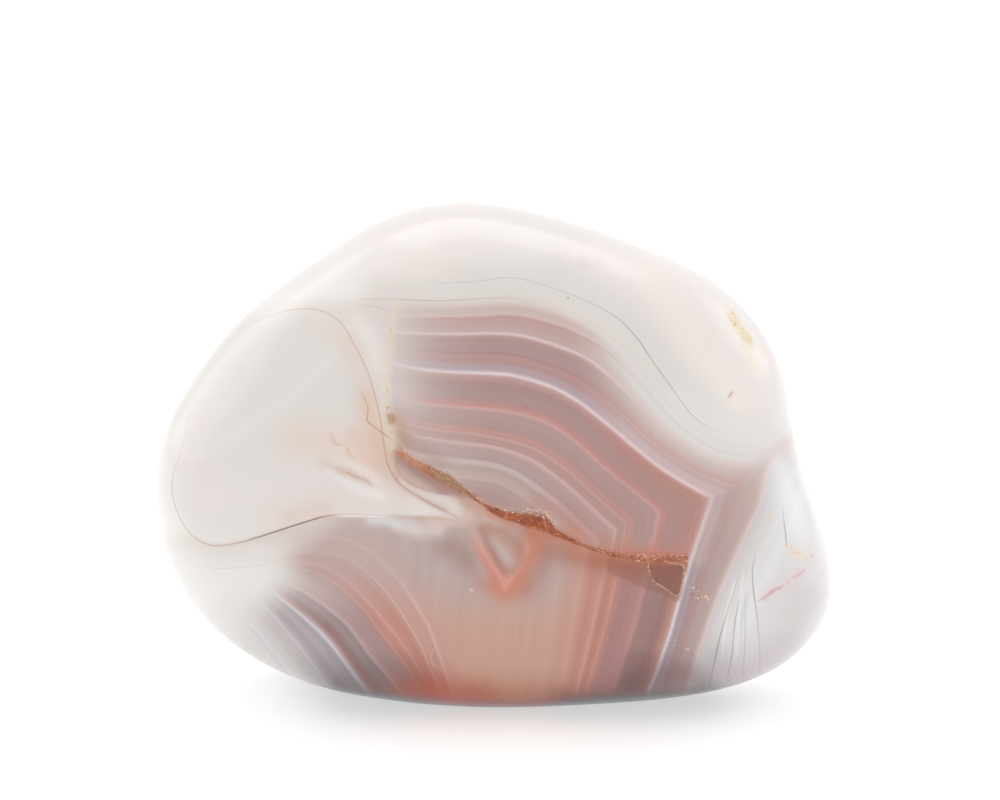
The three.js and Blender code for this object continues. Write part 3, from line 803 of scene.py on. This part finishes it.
nearest_wall = roof.maths("MINIMUM", wall)
pale_shoulder = up.rise(-8, 0.5) * wall.rise(4.8, 4.5) * 0.32
wall_bands = over(banded(wall, WALL_TONES, 0, 13), (226, 202, 194), pale_shoulder)
outer_bands = over(
    banded(nearest_wall, ROOF_TONES_OUTER, 0, 6),
    banded(nearest_wall, ROOF_TONES_RIGHT, 0, 6),
    (across + cloud(2.0) * 0.6).rise(4.5, 9.8),
)
inner_bands = banded(nearest_wall, ROOF_TONES_INNER, 6, 13)
inner_bands = over(inner_bands, (176, 130, 120), across.rise(0, 11) * 0.22)
upper_bands = over(outer_bands, inner_bands, nearest_wall.rise(5.9, 6.1))
upper_bands = over(upper_bands, (216, 206, 204), across.rise(0.4, -5.6) * 0.34)
crease = (roof - wall).maths("DIVIDE", nearest_wall.rise(4.5, 3.2) * 1.4 + 0.02)
from_wall = crease.rise(-1, 1) * wall.rise(5.0, 4.8)
grain = lines(nearest_wall, 0.3) * 0.06 + lines(nearest_wall, 0.1) * 0.05 + lines(across, 0.3) * 0.02 + 1
upper_bands = lit(over(upper_bands, wall_bands, from_wall), grain)

colour = over(banded(roof, CAP_TONES, -10, 0), upper_bands, nearest_wall.rise(-0.12, 0.08))
centre = over((190, 170, 166), (202, 163, 146), up.rise(-6, -11))
centre = over(centre, (180, 126, 102), up.rise(-12, -15.5))
centre = lit(centre, lines(wall, 0.8) * 0.07 + 1)
lower = over(lit(wall_bands, lines(wall, 0.3) * 0.07 + 1), centre, wall.rise(10, 13.5))
fan_bands = over(
    banded(fan, FAN_TONES, 0, 7.0), banded(fan, FAN_TONES_INNER, 7.0, 11.2), fan.rise(6.98, 7.02)
)
fan_bands = over(fan_bands, (216, 205, 202), up.rise(-10.0, -5.5) * fan.rise(7.0, 5.0) * 0.75)
fan_bands = over(fan_bands, (191, 178, 177), up.rise(-10.0, -5.2) * fan.rise(5.0, 7.0) * 0.62)
# Low down, the fan's inner layers turn to rust and the rest are made up to a third darker: partly their own
# deeper colour, partly painted shade where the stone turns under.
low_down = up.rise(-10.4, -13.1)
fan_bands = over(fan_bands, (140, 66, 48), low_down * fan.rise(6.0, 7.2) * fan.rise(11, 9) * 0.35)
fan_bands = lit(fan_bands, 1 - low_down * fan.rise(0.2, 2.2) * fan.rise(8.0, 6.2) * 0.34)
fan_bands = lit(fan_bands, lines(fan, 0.3) * 0.05 + lines(fan, 0.12) * 0.04 + 1)
lower = over(lower, fan_bands, fan.rise(11.2, 9.8))
lower = over(lower, (227, 224, 220), (up - across - fan.rise(5.0, 8.0) * 1.8).rise(3.5, 8.0))
toe_grain = lines(wall, 0.22) * across.rise(17, 15) * up.rise(-6, -9) * 0.06 + 1
toe = lit(banded(wall, TOE_TONES, -8, 0), toe_grain)
lower = over(lower, toe, wall.rise(0.08, -0.08))
parting = across.rise(-8.5, -13) * 1.6 + across.rise(-4.5, -2.6) * across.rise(1.2, -0.6) * 0.45 + 0.03
parting = below.maths("DIVIDE", parting)
colour = over(colour, lower, parting.rise(-1, 1))
colour = over(colour, toe, wall.rise(0.08, -0.08) * (wall - roof).rise(0, -0.3))
gap = (across + cloud(0.8) * 0.25).rise(-5.7, -6.9) * up.rise(10.2, 8.4, 0.6, 1.0)
colour = over(colour, (229, 224, 218), gap * parting.rise(0, -1) * roof.rise(-0.3, 0.6))
colour = over(colour, (225, 220, 216), patch.rise(0.0, 0.3))


def stained(colour, name):
    """The colour with a stored layer of stains over it."""
    tint, cover = (Flow.node("ShaderNodeAttribute", {"attribute_name": name}, out=k) for k in (0, 3))
    return over(colour, tint, cover)


colour = stained(colour, "stain")

CHEVRON_TONES = [
    (-1.0, (190, 148, 132)), (-0.3, (202, 136, 118)), (0.0, (207, 140, 124)), (0.24, (215, 158, 145)),
    (0.5, (204, 148, 134)), (0.8, (194, 145, 130)), (1.1, (190, 150, 136)),
]
chevron = cloud(1.0) * 0.14 - stored("chevron")
chevron_ink = chevron.rise(-1.1, -0.15) * chevron.rise(-0.6, 0.1) * up.rise(-3.2, -5.4) * stored("front")
colour = stained(over(colour, banded(chevron, CHEVRON_TONES, -1.0, 1.1), chevron_ink * 0.9), "almond")

rim = patch.maths("ABSOLUTE").rise(0.07, 0.02) * stored("rim_ink")
colour = over(colour, over((180, 132, 104), (116, 84, 72), stored("rim_ink").rise(0.5, 0.95)), rim * 0.75)
thread = stored("thread").maths("ABSOLUTE").rise(1.0, 0.3) * stored("thread_ink")
colour = over(colour, over((112, 104, 100), (172, 118, 88), stored("thread_brown")), thread * 0.75)

# The ochre veil, the scar under the crack, and the rust in it, all ragged, and pale specks on the crack's lip
# that are partly painted glints.
ragged, crumbs, grit = cloud(0.5, 4.0), cloud(0.16, 3.0), cloud(0.09, 2.0)
veil = stored("veil")
colour = over(colour, (236, 224, 204), veil * 0.4)
veil = veil * (ragged * 0.6 + crumbs * 0.4 + grit * 0.9 + 0.4)
veil_tone = over((216, 196, 158), (184, 140, 104), ragged.rise(0.05, 0.35))
colour = over(colour, veil_tone, veil.rise(0.3, 0.8) * (0.8 - up.rise(4.0, 3.4) * 0.4))
knot_height = up + ragged * 0.25
knot = stored("veil").rise(0.2, 0.9) * knot_height.rise(3.7, 3.3) * knot_height.rise(2.6, 3.0)
colour = over(colour, (186, 144, 116), knot * (crumbs * 0.4 + 0.7))
flakes = stored("flakes") * (crumbs * 2.0 + ragged * 1.2 + 0.1)
flake_tone = over((232, 188, 144), (250, 224, 196), crumbs.rise(0.2, 0.45))
colour = over(colour, flake_tone, flakes.rise(0.35, 0.6) * 0.9)
scar = stored("scar") + ragged * 0.05
colour = over(colour, (144, 98, 89), scar.rise(-0.02, 0.08) * (crumbs * 0.25 + 0.75))
scar_edge = scar.maths("ABSOLUTE").rise(0.07, 0.02) * crumbs.rise(-0.3, 0.2)
colour = over(colour, (222, 178, 150), scar_edge * 0.75)
seam, seam_width = stored("seam") + ragged * 0.16 + crumbs * 0.04, stored("seam_width")
in_seam = seam.maths("ABSOLUTE").maths("DIVIDE", seam_width)
halo = in_seam.rise(3.2, 1.0) * (seam.rise(-0.2, 0.2) * 0.8 + across.rise(4.5, 6.5)).maths("MINIMUM", 1.0)
colour = over(colour, (188, 116, 88), halo * seam_width.rise(0.05, 0.2) * 0.45)
rust = over((166, 92, 58), (128, 70, 48), ragged.rise(0.05, 0.35))
rust = over(rust, (206, 128, 84), ragged.rise(-0.1, -0.4))
rust = over(rust, (104, 52, 36), grit.rise(-0.15, -0.4) * 0.7)
rust = over(rust, (206, 152, 122), across.rise(-3.2, -4.6) * (ragged * 0.5 + 0.75))
olive = across.rise(-4.1, -3.1) * across.rise(-0.9, -1.7)
rust = over(rust, over((162, 124, 98), (190, 156, 128), grit.rise(-0.1, 0.2)), olive * 0.85)
rust = over(rust, (236, 172, 120), (grit + crumbs * 0.6).rise(0.3, 0.5) * 0.9)
grainy = across.rise(5.0, 6.5)
rust_cover = in_seam.rise(1.15, 0.6) * (1 - grainy * crumbs.rise(0.1, -0.2)) * seam_width.rise(0.02, 0.16)
rust_cover = rust_cover * (across + ragged * 0.4).rise(-6.15, -5.35)
colour = over(colour, rust, rust_cover * 0.9)
on_lip = seam.maths("DIVIDE", seam_width)
lower_lip = grainy * on_lip.rise(1.6, 0.9)
on_lip = on_lip.rise(-1.8, -1.2) * (on_lip.rise(-0.3, -0.7) + lower_lip).maths("MINIMUM", 1.0)
# Pale specks on the chipped upper lip are painted glints; towards the right the same specks are pale grains
# along the seam.
lip_glints_and_grains = (crumbs + grit * 0.5).rise(0.12, 0.28) * on_lip * cloud(1.0).rise(-0.3, 0.1)
colour = over(colour, (242, 206, 172), lip_glints_and_grains * 0.9)

rough = in_seam.rise(1.3, 0.8) + veil.rise(0.5, 1.0) + scar.rise(-0.05, 0.1) * 0.6
rough = (rough + stored("pit")).maths("MINIMUM", 1.0)
pit = stored("pit")
colour = over(colour, (241, 227, 196), (pit + ragged * 0.4).rise(0.35, 0.9) * 0.7)
pit = pit * (crumbs * 1.4 + ragged * 0.5 + 0.55)
colour = over(colour, (216, 186, 118), pit.rise(0.5, 0.85) * 0.75)
colour = over(colour, (176, 144, 92), pit.rise(0.95, 1.25) * 0.6)
# The pale floor is mirrored in the polish near the foot and washes the colours out, so they are made
# deeper there. This offsets the studio and isn't a property of the stone.
facing_down = stored("underside")
mirrored = facing_down.rise(0.55, 0.95) * 0.05 + facing_down.rise(0.84, 0.97) * 0.13
foot = Flow.node("ShaderNodeCombineColor", {}, dict.fromkeys(range(3), mirrored))
deep = Flow.node("ShaderNodeVectorMath", {"operation": "SUBTRACT"}, {0: colour, 1: foot})
colour = Flow.node("ShaderNodeVectorMath", {"operation": "MAXIMUM"}, {0: deep, 1: (0, 0, 0)})
agate.node_tree.links.new(colour.socket, surface.inputs["Base Color"])
agate.node_tree.links.new((rough * 0.3 + (cloud(6.0) * 0.03 + 0.2)).socket, surface.inputs["Roughness"])
bump = Flow.node(
    "ShaderNodeBump", {}, {"Height": cloud(0.25, 4.0) * rough, "Strength": 0.5, "Distance": 0.05 * MM}
)
agate.node_tree.links.new(bump.socket, surface.inputs["Normal"])
surface.inputs["IOR"].default_value = 1.54
surface.inputs["Subsurface Weight"].default_value = 0.12
surface.inputs["Subsurface Radius"].default_value = (1.0, 0.8, 0.7)
surface.inputs["Subsurface Scale"].default_value = 1.2 * MM
stone_mesh.materials.append(agate)

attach(stone, "root")
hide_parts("stone")
